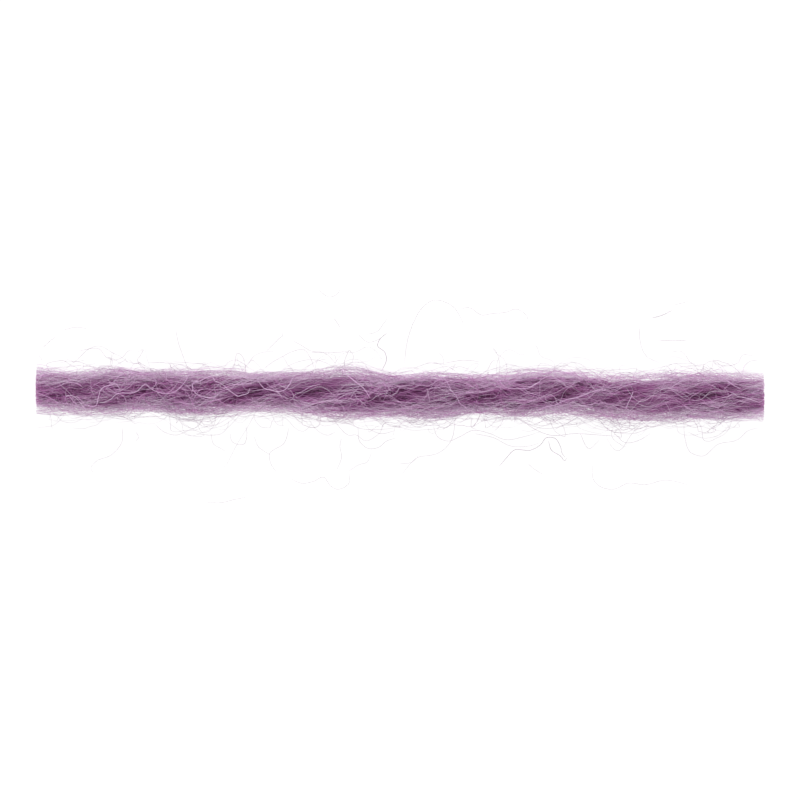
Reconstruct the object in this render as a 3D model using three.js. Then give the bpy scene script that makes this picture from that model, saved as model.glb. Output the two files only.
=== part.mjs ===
// A cut length of soft knitting yarn, lying straight on a flat surface.
//
// Sizes are in millimetres. +X runs along the yarn, +Y across it and +Z is up. The origin is the middle of
// the yarn's underside, on the surface that it lies on.
//
// The yarn is four woollen plies, laid together with a loose S twist, so the grooves between them run
// round it as a left-handed helix. It is uneven, as soft yarn is: it swells, thins and drifts along its
// length, and its twist is tighter in some places than in others. The solid reaches out as far as the dense
// fuzz on the plies does. Both ends are plain scissor cuts.

import * as THREE from 'three';

// Driving dimensions
const YARN_LENGTH = 48.5;
const PLY_COUNT = 4;
const GROOVE_DEPTH = 0.17; // depth of the groove between two plies, as a share of the yarn's radius
const CREST_ROUNDNESS = 0.8; // under 1 narrows the grooves and broadens the crests of the plies
const SETTLING = 0.07; // share of the radius that the yarn's own weight presses flat underneath

// Fineness of the faces
const POINTS_PER_PLY = 8;
const STEP_LENGTH = 0.5;

const PLY_ANGLE = (2 * Math.PI) / PLY_COUNT;
const TOP = Math.PI / 2;

// The yarn's uneven run: where its middle lies to the side of the X axis, and its radius over the crests
const RUN = [
  { along: -24.3, side: 0.3, radius: 1.43 },
  { along: -21.6, side: 0.14, radius: 1.41 },
  { along: -18.9, side: 0.24, radius: 1.48 },
  { along: -16.3, side: 0.24, radius: 1.3 },
  { along: -13.6, side: 0.16, radius: 1.5 },
  { along: -10.9, side: 0.22, radius: 1.38 },
  { along: -8.3, side: 0.19, radius: 1.3 },
  { along: -5.6, side: 0.07, radius: 1.5 },
  { along: -2.9, side: 0.04, radius: 1.63 },
  { along: -0.3, side: -0.07, radius: 1.45 },
  { along: 2.4, side: -0.04, radius: 1.52 },
  { along: 5.1, side: 0.02, radius: 1.3 },
  { along: 7.7, side: 0.04, radius: 1.5 },
  { along: 10.4, side: 0.16, radius: 1.49 },
  { along: 13.1, side: -0.02, radius: 1.49 },
  { along: 15.7, side: -0.2, radius: 1.51 },
  { along: 18.4, side: -0.11, radius: 1.57 },
  { along: 21.1, side: -0.07, radius: 1.56 },
  { along: 24.3, side: -0.12, radius: 1.56 },
];

// The twist: the places along the yarn where one groove after another passes over its top. The first and
// the last lie just past the cut ends.
const GROOVES_OVER_TOP = [-26.9, -22.1, -17.0, -13.7, -9.9, -6.1, -0.7, 6.5, 11.1, 14.5, 20.0, 25.0];

// A smooth curve through the values that a table gives at its places along the yarn
function curveThrough(places, values) {
  const curve = new THREE.CubicInterpolant(places, values, 1);
  return (along) => curve.evaluate(along)[0];
}

const places = RUN.map((row) => row.along);
const sideAt = curveThrough(places, RUN.map((row) => row.side));
const radiusAt = curveThrough(places, RUN.map((row) => row.radius));
const grooveTurnAt = curveThrough(GROOVES_OVER_TOP, GROOVES_OVER_TOP.map((_, index) => index * PLY_ANGLE));

// Radius of the yarn's outline at an angle from a groove: round crests that meet in sharper grooves
function outlineRadius(radius, angleFromGroove) {
  const crest = Math.abs(Math.sin((angleFromGroove * PLY_COUNT) / 2)) ** CREST_ROUNDNESS;
  return radius * (1 - GROOVE_DEPTH * (1 - crest));
}

// The ring of points around the yarn at one place along it. Its points turn with the plies, so that each
// row of them follows a crest or a groove, and what would reach below the surface is pressed flat on it.
function ringAt(along) {
  const radius = radiusAt(along);
  const height = radius * (1 - SETTLING);
  const grooveAngle = TOP - grooveTurnAt(along);
  const count = PLY_COUNT * POINTS_PER_PLY;
  return Array.from({ length: count }, (_, index) => {
    const angleFromGroove = (index * 2 * Math.PI) / count;
    const reach = outlineRadius(radius, angleFromGroove);
    const angle = grooveAngle + angleFromGroove;
    const y = sideAt(along) + reach * Math.cos(angle);
    const z = height + reach * Math.sin(angle);
    return new THREE.Vector3(along, y, Math.max(z, 0));
  });
}

// A closed skin over a row of rings, with a flat fan of faces over each cut end
function closedSkin(rings) {
  const count = rings[0].length;
  const points = rings.flat();
  const faces = [];
  for (let ring = 0; ring + 1 < rings.length; ring++) {
    for (let index = 0; index < count; index++) {
      const a = ring * count + index;
      const b = ring * count + ((index + 1) % count);
      faces.push(a, b, b + count, a, b + count, a + count);
    }
  }
  const ends = [rings[0], rings.at(-1)];
  ends.forEach((ring, end) => {
    const middle = ring.reduce((sum, point) => sum.add(point), new THREE.Vector3()).divideScalar(count);
    const middleIndex = points.push(middle) - 1;
    const start = end === 0 ? 0 : (rings.length - 1) * count;
    for (let index = 0; index < count; index++) {
      const here = start + index;
      const next = start + ((index + 1) % count);
      faces.push(middleIndex, ...(end === 0 ? [next, here] : [here, next]));
    }
  });
  const geometry = new THREE.BufferGeometry().setFromPoints(points);
  geometry.setIndex(faces);
  geometry.computeVertexNormals();
  return geometry;
}

function makeYarn() {
  const steps = Math.round(YARN_LENGTH / STEP_LENGTH);
  const rings = Array.from({ length: steps + 1 }, (_, step) => ringAt((step / steps - 0.5) * YARN_LENGTH));
  const wool = new THREE.MeshStandardMaterial({ color: 0x85607f, roughness: 0.95, metalness: 0 });
  const yarn = new THREE.Mesh(closedSkin(rings), wool);
  yarn.name = 'yarn_strand';
  return yarn;
}

const knittingYarn = new THREE.Group();
knittingYarn.add(makeYarn());

export default knittingYarn;
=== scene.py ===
"""The looks of a cut length of fuzzy plied knitting yarn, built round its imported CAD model.

The script works in millimetres, in the frame of the CAD model: +X runs along the yarn, +Y across it and
+Z is up from the surface that it lies on. Meshes are in metres.
"""

import math

import bpy
import numpy as np
from bpy.props import FloatProperty, FloatVectorProperty, IntProperty, PointerProperty
from bpy.types import Operator, Panel, PropertyGroup
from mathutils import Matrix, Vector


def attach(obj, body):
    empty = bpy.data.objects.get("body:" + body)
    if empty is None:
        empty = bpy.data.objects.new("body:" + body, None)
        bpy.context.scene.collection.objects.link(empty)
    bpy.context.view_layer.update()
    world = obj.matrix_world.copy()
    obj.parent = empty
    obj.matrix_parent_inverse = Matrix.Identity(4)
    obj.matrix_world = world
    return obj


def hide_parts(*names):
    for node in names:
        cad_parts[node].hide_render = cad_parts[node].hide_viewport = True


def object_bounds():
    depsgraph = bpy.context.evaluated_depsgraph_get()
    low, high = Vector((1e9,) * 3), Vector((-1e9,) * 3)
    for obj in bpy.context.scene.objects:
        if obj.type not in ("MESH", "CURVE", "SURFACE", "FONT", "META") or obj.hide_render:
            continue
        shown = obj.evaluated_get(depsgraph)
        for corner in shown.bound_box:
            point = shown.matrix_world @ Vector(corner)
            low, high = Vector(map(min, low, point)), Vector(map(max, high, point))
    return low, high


bl_info = {
    "name": "Knitting yarn looks",
    "version": (1, 0, 0),
    "blender": (4, 5, 0),
    "location": "3D View > Sidebar > Yarn",
    "description": "Builds the plies, fibres and loose halo of a cut length of fuzzy knitting yarn",
    "category": "Object",
}

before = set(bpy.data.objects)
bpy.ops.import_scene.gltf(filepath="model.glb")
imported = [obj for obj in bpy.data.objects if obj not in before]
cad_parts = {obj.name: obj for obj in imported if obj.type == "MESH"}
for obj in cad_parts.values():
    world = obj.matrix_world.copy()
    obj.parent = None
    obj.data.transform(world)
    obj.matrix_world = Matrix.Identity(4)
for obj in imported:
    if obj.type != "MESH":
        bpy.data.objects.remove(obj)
CAD_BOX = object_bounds()

YARN_NODE = "yarn_strand"

PALETTE_MAP = "OFBake"  # the UV map that holds each fibre's place on the palette

MM = 0.001
TOP = math.pi / 2
TURN = 2 * math.pi
WHITE = (1, 1, 1, 1)

YARN_LENGTH = (CAD_BOX[1].x - CAD_BOX[0].x) / MM
HALF_LENGTH = YARN_LENGTH / 2
PLY_COUNT = 4
PLY_ANGLE = TURN / PLY_COUNT

# The wool
LIGHT_DEPTH = 0.03 * MM
MOTTLE_SCALE = 700.0  # soft patches of dye, about 1.4 mm across
MOTTLE_DETAIL = 2.0
ROUGHNESS_SPREAD = 0.08
PATCH_TONE = 0.05
PATCH_LENGTHS = (9.0, 5.3)

# Limits of a fibre's place on the palette, and how far that moves along and round it, so that each of its
# faces covers some of the palette
TONE_LIMITS = (0, 0.96)
TONE_ALONG = 0.03
TONE_ROUND = 0.008
HUE_LIMITS = (0.02, 0.93)
HUE_ROUND = 0.012

# Ranges of the draws for single fibres, as shares of the stated wave or width
WAVE_SIZES = (0.4, 1.4)
WAVE_LENGTHS = (0.75, 1.33)
FIBRE_WIDTHS = (0.75, 1.3)

# Fibres that lie in locks
PAST_THE_END = 4  # how far past the cut ends a lock's middle may be
MIDDLE_SPREAD = 2.2
CUT_UNEVENNESS = (-0.04, 0.02)
SHORTEST_FIBRE = 0.5
FOLLOWING = (0.22, 0.3)  # mean and spread of a lock's share of the plies' turn
LOCK_WAVE_SIZES = (0.04, 0.16)
LOCK_WAVE_LENGTHS = (2.4, 6.5)
HOLLOW_DEPTH = 0.16  # as a share of the fibre's reach

# Painted light and shade that a lying fibre's place adds to its tone: lighter crests over darker grooves, a
# glow on the flanks, more light half way down the far flank, which faces the stronger lamp, and shade in the
# hollows
MEAN_CREST = 0.76
CREST_LIGHT_GROOVE_SHADE = 0.26
FLANK_PAINTED_GLOW = 0.46
FAR_SIDE_PAINTED_LIGHT = 0.05
EVEN_TONE = 0.055
HOLLOW_PAINTED_SHADE = 0.22

FREE_ENDS = 0.35  # share of the loose fibres that have one

# The yarn's uneven run: the place along it, where its middle lies to the side, and its radius over the crests
RUN = np.array(
    [
        (-24.3, 0.3, 1.43),
        (-21.6, 0.14, 1.41),
        (-18.9, 0.24, 1.48),
        (-16.3, 0.24, 1.3),
        (-13.6, 0.16, 1.5),
        (-10.9, 0.22, 1.38),
        (-8.3, 0.19, 1.3),
        (-5.6, 0.07, 1.5),
        (-2.9, 0.04, 1.63),
        (-0.3, -0.07, 1.45),
        (2.4, -0.04, 1.52),
        (5.1, 0.02, 1.3),
        (7.7, 0.04, 1.5),
        (10.4, 0.16, 1.49),
        (13.1, -0.02, 1.49),
        (15.7, -0.2, 1.51),
        (18.4, -0.11, 1.57),
        (21.1, -0.07, 1.56),
        (24.3, -0.12, 1.56),
    ],
    dtype=[("along", float), ("side", float), ("radius", float)],
)

# The places along the yarn where one groove after another passes over its top
GROOVES_OVER_TOP = np.array([-26.9, -22.1, -17.0, -13.7, -9.9, -6.1, -0.7, 6.5, 11.1, 14.5, 20.0, 25.0])

# Hollows in the wool on top, where the wool sinks and is painted darker as shade: the place along and across
# the yarn, the half length and half width, the lean as a rise for each step along, and the depth, which sets
# how far the wool sinks and how dark its painted shade is
HOLLOWS = np.array(
    [
        (-23.9, 0.4, 0.7, 0.3, 0.1, 0.8),
        (-22.6, -0.5, 1.2, 0.25, 0.1, 0.5),
        (-19.8, 0.6, 0.6, 0.15, 0.3, 0.8),
        (-18.7, -0.35, 1.2, 0.15, 0.4, 0.8),
        (-15.8, 0.55, 1.1, 0.22, 0.05, 0.7),
        (-12.6, 0.4, 0.6, 0.28, 0.3, 1.0),
        (-10.9, -0.25, 1.3, 0.32, 0.35, 1.0),
        (-9.6, 0.4, 0.8, 0.2, 0.15, 1.0),
        (-6.4, 0.2, 1.4, 0.4, 0.1, 0.75),
        (-4.4, 0.95, 1.3, 0.22, 0.1, 0.75),
        (-2.4, -0.15, 1.6, 0.2, 0.0, 0.7),
        (-0.2, 0.3, 1.0, 0.25, 0.25, 0.8),
        (2.0, 0.9, 0.8, 0.15, 0.1, 0.5),
        (5.9, -0.05, 1.6, 0.26, 0.15, 1.0),
        (9.3, -0.6, 1.2, 0.14, 0.3, 0.8),
        (11.4, 0.1, 1.2, 0.3, 0.3, 1.0),
        (13.3, 0.65, 1.0, 0.18, 0.15, 0.8),
        (13.4, -0.4, 1.2, 0.16, 0.0, 0.7),
        (16.1, 0.4, 1.2, 0.25, 0.3, 0.9),
        (18.6, 0.6, 0.8, 0.2, 0.0, 0.6),
        (20.1, -0.05, 1.5, 0.28, 0.05, 1.0),
        (21.0, 0.5, 0.9, 0.25, -0.1, 0.7),
        (18.4, -0.95, 0.9, 0.15, 0.2, 0.5),
        (23.7, -0.75, 0.7, 0.2, 0.1, 0.6),
    ],
    dtype=[(name, float) for name in ("along", "across", "length", "width", "lean", "depth")],
)

# Bright single fibres that cross the yarn, read from above: points along and across it
BRIGHT_FIBRES = [
    [(-21.3, -1.0), (-21.1, -0.8), (-20.8, -0.7), (-20.5, -0.8), (-20.2, -0.7), (-20.1, -0.4), (-20.0, 0.0),
     (-19.9, 0.3), (-19.7, 0.5), (-19.3, 0.6), (-18.9, 0.7), (-18.7, 0.5), (-18.6, 0.2)],
    [(-19.7, -0.5), (-19.2, -0.3), (-18.9, 0.0), (-18.6, 0.1), (-18.0, 0.1), (-17.5, 0.2), (-17.2, 0.5),
     (-16.9, 0.7), (-16.7, 0.5), (-16.2, 0.2), (-15.8, 0.1), (-15.2, 0.1), (-14.8, 0.3), (-14.5, 0.6),
     (-14.2, 1.0), (-14.0, 1.4)],
    [(-11.7, 0.6), (-12.0, 0.8), (-12.3, 0.9), (-12.5, 1.2), (-12.9, 1.1), (-13.3, 0.9), (-13.7, 0.8),
     (-13.8, 0.4), (-13.6, 0.1), (-13.2, -0.1), (-12.8, -0.2), (-12.4, -0.2), (-12.0, 0.1)],
    [(-12.0, 0.8), (-11.7, 0.6), (-11.4, 0.3), (-11.1, 0.1), (-10.8, -0.1), (-10.4, 0.0), (-10.1, 0.1),
     (-10.0, 0.4)],
    [(-9.5, 1.0), (-9.3, 0.7), (-9.0, 0.4), (-8.6, 0.3), (-8.1, 0.2), (-7.7, 0.3), (-7.4, 0.6), (-7.2, 1.0),
     (-7.0, 1.3)],
    [(-3.9, 1.7), (-3.5, 1.3), (-2.9, 0.8), (-2.4, 0.4), (-2.0, -0.2)],
    [(2.1, 1.1), (2.6, 1.0), (3.0, 1.0), (3.2, 0.7), (3.4, 0.3), (3.8, -0.2), (4.0, -0.6), (4.3, -0.8),
     (4.5, -1.0)],
    [(6.2, 1.3), (6.5, 1.1), (6.7, 0.8), (7.0, 0.5), (7.5, 0.4), (8.1, 0.4), (8.7, 0.5), (9.0, 0.7),
     (9.2, 0.8), (9.4, 1.0), (9.8, 1.2)],
    [(9.1, -1.0), (9.8, -0.8), (10.3, -0.7), (10.7, -0.5), (11.2, -0.3), (11.7, -0.2), (12.3, 0.0),
     (12.8, 0.2), (13.3, 0.3), (13.7, 0.3)],
    [(14.3, 0.2), (14.6, 0.4), (15.0, 0.6), (15.5, 0.7), (15.8, 0.8), (15.9, 1.0)],
    [(15.0, -1.0), (15.1, -0.7), (15.3, -0.3), (15.5, 0.2)],
    [(17.9, 0.4), (18.2, 0.6), (18.7, 0.9), (19.2, 1.1), (19.7, 1.2), (20.0, 1.0)],
    [(21.6, 1.0), (21.9, 0.8), (22.2, 0.6), (22.6, 0.4)],
]

# Fainter ones, lying lower in the wool
FAINT_FIBRES = [
    [(-24.2, 0.7), (-24.0, 1.0), (-23.8, 1.3), (-23.6, 1.5)],
    [(-24.2, 0.2), (-23.8, 0.0), (-23.3, -0.2), (-22.8, -0.5), (-22.2, -0.6), (-21.6, -0.7)],
    [(-22.5, 0.7), (-22.0, 0.8), (-21.4, 0.7), (-21.1, 0.5)],
    [(-22.2, 0.0), (-21.9, -0.2), (-21.7, -0.5), (-21.3, -0.8)],
    [(-21.5, -0.1), (-21.3, -0.3), (-21.0, -0.6)],
    [(-19.2, 0.7), (-18.9, 1.0), (-18.6, 1.3), (-18.2, 1.4)],
    [(-18.6, 0.3), (-18.4, 0.7), (-18.0, 1.2), (-17.8, 1.4), (-17.3, 1.5), (-16.8, 1.3), (-16.4, 1.1),
     (-16.2, 0.8), (-16.4, 0.5), (-16.9, 0.3)],
    [(-18.6, 0.0), (-18.3, -0.2), (-18.2, -0.6)],
    [(-16.0, -0.8), (-15.3, -0.6), (-14.7, -0.5), (-14.0, -0.6), (-13.5, -0.5), (-13.2, -0.4)],
    [(-13.1, 0.4), (-13.4, 0.2), (-13.6, -0.1), (-13.8, -0.5)],
    [(-11.8, 1.0), (-11.2, 0.7), (-10.8, 0.7), (-10.2, 0.7), (-9.8, 0.8), (-9.5, 1.0)],
    [(-9.9, 1.5), (-9.9, 1.1), (-9.9, 0.7)],
    [(-8.8, 0.4), (-8.5, 0.5), (-8.2, 0.6), (-7.9, 0.9), (-7.8, 1.3)],
    [(-7.3, 0.3), (-7.1, 0.0), (-7.0, -0.5), (-6.8, -0.8), (-6.5, -1.0)],
    [(-7.0, 0.0), (-6.5, 0.2), (-6.0, 0.5), (-5.3, 0.7)],
    [(-5.7, -0.8), (-5.2, -0.6), (-4.9, -0.4), (-4.3, -0.4), (-4.0, -0.2), (-3.6, 0.0), (-3.0, 0.2)],
    [(-4.3, -0.4), (-4.0, -0.6), (-3.8, -0.8), (-3.7, -1.0)],
    [(-3.0, 0.1), (-2.9, -0.2), (-2.5, -0.5), (-2.2, -0.8)],
    [(0.1, 1.2), (-0.2, 1.1), (-0.5, 0.8), (-0.8, 0.3), (-1.0, -0.2), (-1.1, -0.4)],
    [(-1.5, 0.8), (-1.0, 0.7), (-0.8, 0.5), (-0.6, 0.2)],
    [(-0.5, -0.1), (-0.2, 0.2), (0.0, 0.5), (0.4, 0.6), (0.8, 0.6), (1.0, 0.8)],
    [(0.7, 1.0), (1.0, 0.7), (1.4, 0.6), (1.9, 0.6), (2.3, 0.8), (2.6, 1.0)],
    [(3.0, 0.9), (3.6, 0.9), (4.1, 0.8), (4.7, 0.6), (5.2, 0.3)],
    [(1.5, 0.2), (2.0, 0.4), (2.7, 0.5), (3.1, 0.5), (3.5, 0.2), (4.1, 0.2), (5.0, 0.1), (5.7, 0.2),
     (6.2, 0.3)],
    [(1.8, 0.4), (1.9, -0.1), (2.0, -0.5)],
    [(5.6, 0.8), (6.0, 0.8), (6.5, 0.5), (7.0, 0.4)],
    [(9.3, 0.9), (9.3, 0.5), (9.3, 0.2), (9.2, -0.2)],
    [(7.9, -0.8), (8.3, -0.6), (8.8, -0.4), (9.3, -0.2), (9.8, 0.0), (10.2, -0.1), (10.4, -0.4),
     (10.5, -0.8), (10.6, -0.9), (10.7, -0.7), (10.7, -0.5), (10.3, -0.2)],
    [(10.3, -1.4), (10.7, -1.0), (11.2, -0.8), (11.7, -0.7), (12.3, -0.7), (13.0, -0.6), (13.7, -0.5)],
    [(9.8, 1.2), (10.4, 1.0), (10.8, 0.8), (11.1, 0.5), (11.7, 0.6)],
    [(15.8, 0.8), (16.3, 0.7), (16.8, 0.7), (17.3, 0.7), (17.8, 0.8), (18.3, 0.8), (19.0, 0.6)],
    [(17.3, 1.0), (17.5, 0.7), (17.8, 0.5), (18.2, 0.3), (18.7, 0.1), (19.2, -0.2)],
    [(17.6, -0.5), (17.8, -0.8), (17.9, -1.0), (18.0, -1.3)],
    [(17.9, -1.0), (18.2, -0.9), (18.5, -0.8), (19.0, -0.8), (19.5, -1.1), (19.9, -1.2)],
    [(19.7, 1.0), (20.1, 0.9), (20.5, 0.7), (21.0, 0.5)],
    [(20.6, -0.5), (21.0, -0.3), (21.5, -0.2), (21.9, -0.1), (22.1, 0.1), (22.4, -0.1), (22.9, -0.2),
     (23.5, -0.4), (23.9, -0.5), (24.2, -0.3)],
    [(20.1, -0.5), (20.6, -0.6), (20.9, -0.8), (21.3, -1.0), (21.8, -1.3)],
    [(21.5, 0.3), (21.8, 0.6), (22.2, 0.9), (22.6, 1.2), (22.8, 1.4), (22.9, 1.8), (23.0, 2.0)],
]

# Single fibres that stand off beside the yarn, read the same way
CLEAR_FLYAWAYS = [
    [(-0.9, 4.1), (-1.4, 3.6), (-1.5, 3.3), (-1.0, 2.8), (-0.9, 2.4), (-1.2, 1.6)],
    [(6.6, -4.8), (7.1, -4.2), (7.6, -3.7), (8.7, -3.7), (9.4, -3.3), (9.7, -2.9), (10.3, -2.9),
     (10.7, -3.5), (10.8, -3.9), (11.0, -4.2)],
    [(9.9, -3.1), (10.1, -3.7), (10.7, -4.1), (11.0, -4.4), (11.1, -4.2)],
    [(16.8, 5.1), (17.5, 5.3), (18.1, 5.6)],
]

# Fainter ones
FAINT_FLYAWAYS = [
    [(-21.5, 2.9), (-20.0, 3.0), (-19.6, 2.5), (-19.1, 2.3), (-18.5, 2.5), (-18.1, 2.9), (-17.6, 3.0)],
    [(-11.7, 1.8), (-11.5, 2.1), (-10.9, 2.3), (-10.5, 2.1), (-10.1, 1.8)],
    [(-5.5, 7.0), (-4.6, 6.5), (-4.1, 6.8), (-4.0, 7.0)],
    [(3.9, 5.7), (4.6, 5.8), (5.5, 5.3), (6.1, 5.4), (7.1, 5.5), (7.7, 5.7), (8.3, 5.4), (8.5, 5.1),
     (8.3, 4.8)],
    [(20.9, 2.1), (21.7, 1.9), (22.6, 2.2), (22.8, 2.6), (23.6, 2.6)],
    [(-24.2, -2.2), (-23.0, -2.0), (-22.4, -1.4)],
    [(-16.3, -2.0), (-15.7, -2.5), (-15.0, -2.7), (-13.9, -2.3), (-13.6, -2.2), (-13.0, -1.4)],
    [(-18.5, -2.2), (-18.5, -3.1), (-19.2, -4.0), (-20.3, -4.5), (-20.6, -4.9), (-20.3, -5.4)],
    [(-6.1, -1.6), (-5.7, -2.2), (-4.8, -2.7), (-4.3, -2.5)],
    [(4.8, -1.5), (4.8, -2.2), (5.1, -2.3)],
    [(14.1, -1.6), (14.5, -1.9), (15.3, -2.1), (16.1, -1.8), (16.7, -1.5)],
    [(0.3, 2.1), (0.5, 3.6), (0.9, 4.8), (1.5, 5.8), (2.3, 6.3), (2.9, 6.2), (3.6, 5.8), (4.0, 5.2),
     (4.3, 4.5)],
    [(-7.4, -2.2), (-7.7, -3.2), (-8.7, -4.0), (-8.6, -4.6), (-8.2, -5.2)],
    [(-8.7, -4.0), (-9.5, -3.4), (-9.7, -2.8)],
    [(18.9, -1.8), (19.0, -3.0), (19.3, -3.8), (20.1, -4.1), (21.2, -3.3), (22.5, -3.0), (23.2, -2.4),
     (24.0, -2.2)],
    [(12.0, -2.6), (12.6, -3.6), (13.3, -3.0)],
    [(12.8, -4.7), (12.9, -5.7), (13.3, -6.1), (14.2, -6.3), (15.2, -5.9), (16.3, -6.0), (17.7, -5.7),
     (18.8, -5.9), (19.4, -6.1)],
    [(-9.2, 1.6), (-8.6, 2.1), (-7.9, 2.5), (-7.1, 2.9), (-6.4, 3.0), (-6.0, 2.5), (-5.7, 1.7)],
    [(-8.9, 2.9), (-8.4, 3.4), (-8.1, 3.7), (-7.8, 4.0), (-7.9, 4.2)],
    [(-7.3, 3.7), (-6.6, 3.3), (-5.9, 2.9), (-5.1, 2.8), (-4.4, 2.2), (-4.1, 1.7)],
    [(-5.9, 2.8), (-4.3, 2.8), (-3.4, 2.9)],
    [(-10.1, 2.0), (-9.8, 2.5), (-9.5, 2.7), (-8.4, 2.9)],
    [(-2.8, 4.0), (-2.1, 3.5), (-1.4, 3.7), (-0.9, 4.1)],
    [(-2.2, 4.0), (-1.4, 4.3), (-1.2, 4.6), (-0.8, 5.1)],
    [(-4.4, 5.1), (-4.2, 4.8), (-4.0, 4.5)],
    [(-22.4, 4.3), (-21.6, 4.5), (-20.9, 4.4)],
    [(-23.8, 3.1), (-23.4, 3.5), (-22.9, 3.9)],
    [(-15.2, 2.2), (-13.9, 2.1), (-12.8, 1.9), (-12.6, 1.6)],
    [(-17.5, 2.8), (-17.1, 3.0), (-17.3, 2.6), (-17.5, 2.3), (-17.0, 1.9)],
    [(2.2, 2.1), (2.9, 2.1), (2.7, 2.7), (2.5, 2.8)],
    [(3.0, 2.1), (4.3, 2.3), (5.3, 2.2)],
    [(16.0, 4.7), (16.0, 3.7), (16.4, 2.6), (17.3, 2.1)],
    [(18.3, 6.0), (18.8, 6.1), (19.2, 6.2)],
    [(17.2, 3.6), (18.1, 3.6), (19.1, 3.6)],
    [(22.9, 1.8), (23.3, 2.2), (23.9, 2.3)],
    [(-13.6, -2.6), (-12.6, -2.7), (-11.9, -2.6), (-11.5, -2.2), (-11.4, -1.7)],
    [(-12.6, -2.6), (-12.4, -3.3), (-11.9, -3.6), (-11.6, -3.8)],
    [(-11.3, -2.6), (-11.2, -3.1), (-10.4, -3.3), (-10.2, -2.6), (-10.3, -2.1)],
    [(-7.3, -5.6), (-6.6, -5.9), (-5.8, -5.8), (-5.1, -5.5), (-4.6, -6.1), (-4.2, -6.3), (-3.4, -5.9),
     (-3.4, -5.1)],
    [(-3.4, -5.1), (-2.8, -4.7), (-2.2, -4.5), (-1.9, -3.9)],
    [(-3.9, -2.9), (-4.0, -3.4), (-3.9, -4.2), (-4.2, -5.0)],
    [(-2.8, -2.2), (-2.7, -3.1), (-2.1, -3.6), (-1.4, -3.5), (-0.9, -3.1), (-0.3, -2.9)],
    [(-2.1, -2.3), (-1.3, -2.6), (-0.3, -2.4)],
    [(-12.9, -7.2), (-11.9, -7.2), (-11.1, -7.0), (-10.1, -6.8)],
    [(-17.6, -2.5), (-17.4, -2.8), (-17.6, -3.1)],
    [(0.0, -4.6), (0.8, -4.5), (1.3, -4.0)],
    [(2.2, -2.0), (2.5, -2.8), (3.2, -3.1), (4.0, -2.8), (4.8, -2.4), (6.0, -2.6), (7.0, -3.0), (8.3, -2.8),
     (9.3, -2.5)],
    [(5.0, -2.6), (6.3, -2.9), (7.3, -3.4), (8.7, -3.4), (9.3, -3.2)],
    [(8.0, -1.6), (8.8, -2.2), (10.0, -2.7), (11.7, -2.6), (13.3, -2.7), (14.7, -2.8)],
    [(10.0, -1.8), (10.4, -2.5), (11.0, -2.8), (10.8, -2.0), (10.3, -1.6)],
    [(13.3, -2.0), (14.3, -2.5), (15.5, -2.6), (16.7, -2.2), (17.3, -2.0)],
    [(14.3, -2.6), (15.0, -3.2), (15.8, -3.1), (16.7, -2.6)],
    [(19.2, -2.5), (20.2, -2.9), (21.2, -2.7), (22.0, -2.0)],
    [(8.5, -4.6), (9.0, -5.0), (9.5, -5.3)],
]


class YarnSizes(PropertyGroup):
    """Sizes of the yarn and its fibres."""

    groove_depth: FloatProperty(
        name="Groove depth",
        description="Depth of the groove between two plies, as a share of the yarn's radius",
        default=0.17,
        subtype="FACTOR",
    )
    crest_roundness: FloatProperty(
        name="Crest roundness",
        description="Under 1 narrows the grooves and broadens the crests of the plies",
        default=0.8,
    )
    settling: FloatProperty(
        name="Settling",
        description="Share of the radius that the yarn's own weight presses flat underneath",
        default=0.07,
        subtype="FACTOR",
    )
    ply_width: FloatProperty(
        name="Ply fibre width",
        description="Width of a fibre inside the plies",
        default=0.055 * MM,
        precision=6,
        unit="LENGTH",
    )
    fuzz_width: FloatProperty(
        name="Fuzz fibre width",
        description="Width of a fibre in the fuzz over the plies",
        default=0.017 * MM,
        precision=6,
        unit="LENGTH",
    )
    loose_width: FloatProperty(
        name="Loose fibre width",
        description="Width of a loose fibre that arches or curls off the yarn",
        default=0.021 * MM,
        precision=6,
        unit="LENGTH",
    )
    bright_width: FloatProperty(
        name="Bright fibre width",
        description="Width of the stoutest single fibres, which cross the yarn and stand off it",
        default=0.044 * MM,
        precision=6,
        unit="LENGTH",
    )
    seed: IntProperty(name="Seed", description="Start of the random draws", default=7)


class YarnColours(PropertyGroup):
    """Colours of the wool, from the painted shade of the wool that lies deepest, between the plies, to its
    loose ends.
    """

    # Painted shade: the darkest colour, for wool that lies far in between the plies
    deep_shade: FloatVectorProperty(
        name="Deep",
        description="Wool between the plies",
        default=(0.23, 0.073, 0.18),
        subtype="COLOR",
    )
    body: FloatVectorProperty(
        name="Body",
        description="Wool on the plies",
        default=(0.49, 0.193, 0.425),
        subtype="COLOR",
    )
    pale: FloatVectorProperty(
        name="Pale",
        description="Loose wool round the plies",
        default=(0.9, 0.72, 0.89),
        subtype="COLOR",
    )
    pinker: FloatVectorProperty(
        name="Pinker tint",
        description="What the pinker fibres' colour is multiplied by",
        default=(1.0, 0.79, 1.0),
        subtype="COLOR",
    )
    greyer: FloatVectorProperty(
        name="Greyer tint",
        description="What the greyer fibres' colour is multiplied by",
        default=(0.71, 0.82, 0.72),
        subtype="COLOR",
    )


class StageSettings(PropertyGroup):
    """Camera, floor and lights."""

    view_width: FloatProperty(
        name="View width",
        description="Width of the camera's view at the yarn",
        default=800 / 15 * MM,
        precision=5,
        unit="LENGTH",
    )
    view_side: FloatProperty(
        name="View centre",
        description="Where the camera's view is centred, across the yarn",
        default=-0.36 * MM,
        precision=6,
        unit="LENGTH",
    )
    lens: FloatProperty(name="Lens", description="Focal length in millimetres", default=350.0)
    floor_size: FloatProperty(
        name="Floor size", description="Side of the floor", default=3.0, unit="LENGTH"
    )


# The yarn's form


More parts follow.
